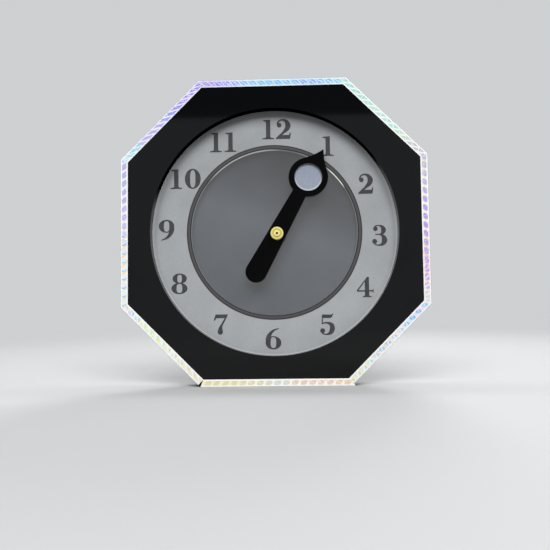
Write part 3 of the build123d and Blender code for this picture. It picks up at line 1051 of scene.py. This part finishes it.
def show(name, mesh, finish):
    """Gives a mesh its finish and puts it in the scene, its object at the origin."""
    mesh.materials.append(finish.material)
    item = bpy.data.objects.new(name, mesh)
    bpy.context.scene.collection.objects.link(item)
    return item


for number, (right, up) in enumerate(numeral_nudges, start=1):
    spot = numeral_shift + hour_direction(number, numeral_turn) * numeral_radius
    spot = spot + Vector((dial_centre.x + right * mm, 0, dial_centre.z + up * mm))
    name = "numeral_" + str(number)
    mesh = numeral_mesh(name, number)
    mesh.transform(Matrix.Translation(spot))
    piece = show(name, mesh, vinyl)
    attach(piece, "case")
    print(name, "faces", len(mesh.polygons))

# %% [markdown]
# The studio is plain. Its floor is pale and fades into a pale background, so that no horizon shows.
# The camera and all reflections see it paler than it is for the light that it throws back at the
# clock, so that the colour of the ground can be chosen freely.

# %% Floor
backdrop = tone(206, 208, 210)
floor_half = 4.0
floor_fade_start = 0.35
floor_fade_end = 1.2
floor_z = -0.1 * mm


def flat_sheet(name, corners, finish):
    """A flat sheet with four corners, for the studio."""
    mesh = bpy.data.meshes.new(name)
    mesh.from_pydata(corners, [], [(0, 1, 2, 3)])
    print("sheet", name, "with a corner at", corners[0])
    return show(name, mesh, finish)


def make_floor():
    """Matt floor that turns into the colour of the backdrop away from the clock. What the camera
    doesn't see of it is darker, so that it throws little light back up at the clock."""
    finish = Finish("floor", {"Roughness": 0.8, "Specular IOR Level": 0.1})
    seen = finish.seen()
    finish.shade("Base Color", finish.mix(seen, tone(110, 110, 110), tone(184, 185, 186)))
    flat = finish.vectors("MULTIPLY", finish.place(), (1, 1, 0))
    far = finish.ease(finish.vectors("LENGTH", flat), floor_fade_start, floor_fade_end)
    glow = finish.add("Emission", {}, {"Color": backdrop, "Strength": 1.0}, "Emission")
    surface = Wire(finish, finish.shader.outputs["BSDF"])
    both = finish.add("MixShader", {}, {0: far * seen, 1: surface, 2: glow}, "Shader")
    finish.feed(finish.tree.nodes["Material Output"].inputs["Surface"], both)
    return finish


floor_corners = [
    (-floor_half, -floor_half, floor_z),
    (floor_half, -floor_half, floor_z),
    (floor_half, floor_half, floor_z),
    (-floor_half, floor_half, floor_z),
]
floor = flat_sheet("floor", floor_corners, make_floor())

# %% [markdown]
# The world gives two things: the colour of the background, which the camera and all reflections
# see, and an even fill light from every side, which nothing sees. Keeping them apart lets the
# background be pale while the fill stays weak enough for soft shadows.

# %% World
fill_level = 0.22
world = bpy.data.worlds.new("studio")
bpy.context.scene.world = world
world.use_nodes = True
sky = Board(world.node_tree)
fill_colour = (fill_level, fill_level, fill_level, 1)
fill = sky.add("Background", {}, {"Color": fill_colour, "Strength": 1.0}, "Background")
shown = sky.add("Background", {}, {"Color": backdrop, "Strength": 1.0}, "Background")
choice = sky.add("MixShader", {}, {0: sky.seen(), 1: fill, 2: shown}, "Shader")
sky.feed(sky.tree.nodes["World Output"].inputs["Surface"], choice)
print("background", [round(value, 2) for value in backdrop[:3]], "fill", fill_level)

# %% [markdown]
# One large soft lamp stands in front and above, so that the deep hole throws a wide, soft shadow on
# the top of the ring and hardly any on its sides. A long lamp overhead draws a line of light on
# every edge that faces up, and one behind serves the views from the back. Together they give a
# plain level, at which a colour renders about as it is written. The camera doesn't see any lamp,
# and the gloss panel doesn't mirror the large one.

# %% Lamps


def add_lamp(name, spot, width, height, glow, mirrored=True):
    """A rectangular soft lamp that looks at the middle of the clock. Its power is its glow, the
    brightness of its face, times its area times pi."""
    lamp = bpy.data.lights.new(name, "AREA")
    lamp.shape = "RECTANGLE"
    lamp.size = width
    lamp.size_y = height
    lamp.energy = glow * width * height * math.pi
    holder = bpy.data.objects.new(name, lamp)
    holder.location = spot
    aim = Vector((0, 0, dial_centre.z)) - Vector(spot)
    holder.rotation_euler = aim.to_track_quat("-Z", "Y").to_euler()
    holder.visible_camera = False
    holder.visible_glossy = mirrored
    bpy.context.scene.collection.objects.link(holder)
    print("lamp", name, "at", spot, "watts", round(lamp.energy, 1))


add_lamp("front", (0.05, -2.05, 2.34), 3.4, 1.65, 6.8, mirrored=False)
add_lamp("overhead", (0, 0.17, 1.3), 2.6, 0.1, 10.0)
add_lamp("back", (0.5, 1.5, 1.4), 0.9, 0.9, 10.0)

# %% [markdown]
# Gloss black is drawn by what it mirrors. A photographer hangs a black card behind the camera, so
# that the upper part of the panel mirrors something dark, with a clear edge below it. The card is
# hidden from the camera, casts no shadow and shows only in reflections.

# %% Black card behind the camera
card_y = -2.2
card_low = 1.03
card_high = 2.4
card_half_width = 1.6
card_corners = [
    (-card_half_width, card_y, card_low),
    (-card_half_width, card_y, card_high),
    (card_half_width, card_y, card_high),
    (card_half_width, card_y, card_low),
]
card_fixed = {"Base Color": tone(6, 6, 6), "Roughness": 1.0, "Specular IOR Level": 0.0}
card = flat_sheet("black_card", card_corners, Finish("card_black", card_fixed))
card.visible_camera = False
card.visible_diffuse = False
card.visible_shadow = False

# %% [markdown]
# The camera stands 54 cm in front of the clock and 7 cm below the middle of the dial, and looks up
# by almost 3 degrees, so the floor is seen almost edge on. Its place and turn were fitted to the
# eight corners of the case.

# %% Camera and view
camera_angles = (92.85, 0.77, 1.62)
camera_data = bpy.data.cameras.new("camera")
camera_data.sensor_width = 36
camera_data.lens = 35.35
camera_data.clip_start = 0.01
camera = bpy.data.objects.new("camera", camera_data)
camera.location = (0.0151, -0.5410, 0.0821)
camera.rotation_euler = [math.radians(angle) for angle in camera_angles]
bpy.context.scene.collection.objects.link(camera)
bpy.context.scene.camera = camera
bpy.context.scene.view_settings.view_transform = "Standard"
print("camera at", tuple(camera.location), "turned by", camera_angles)
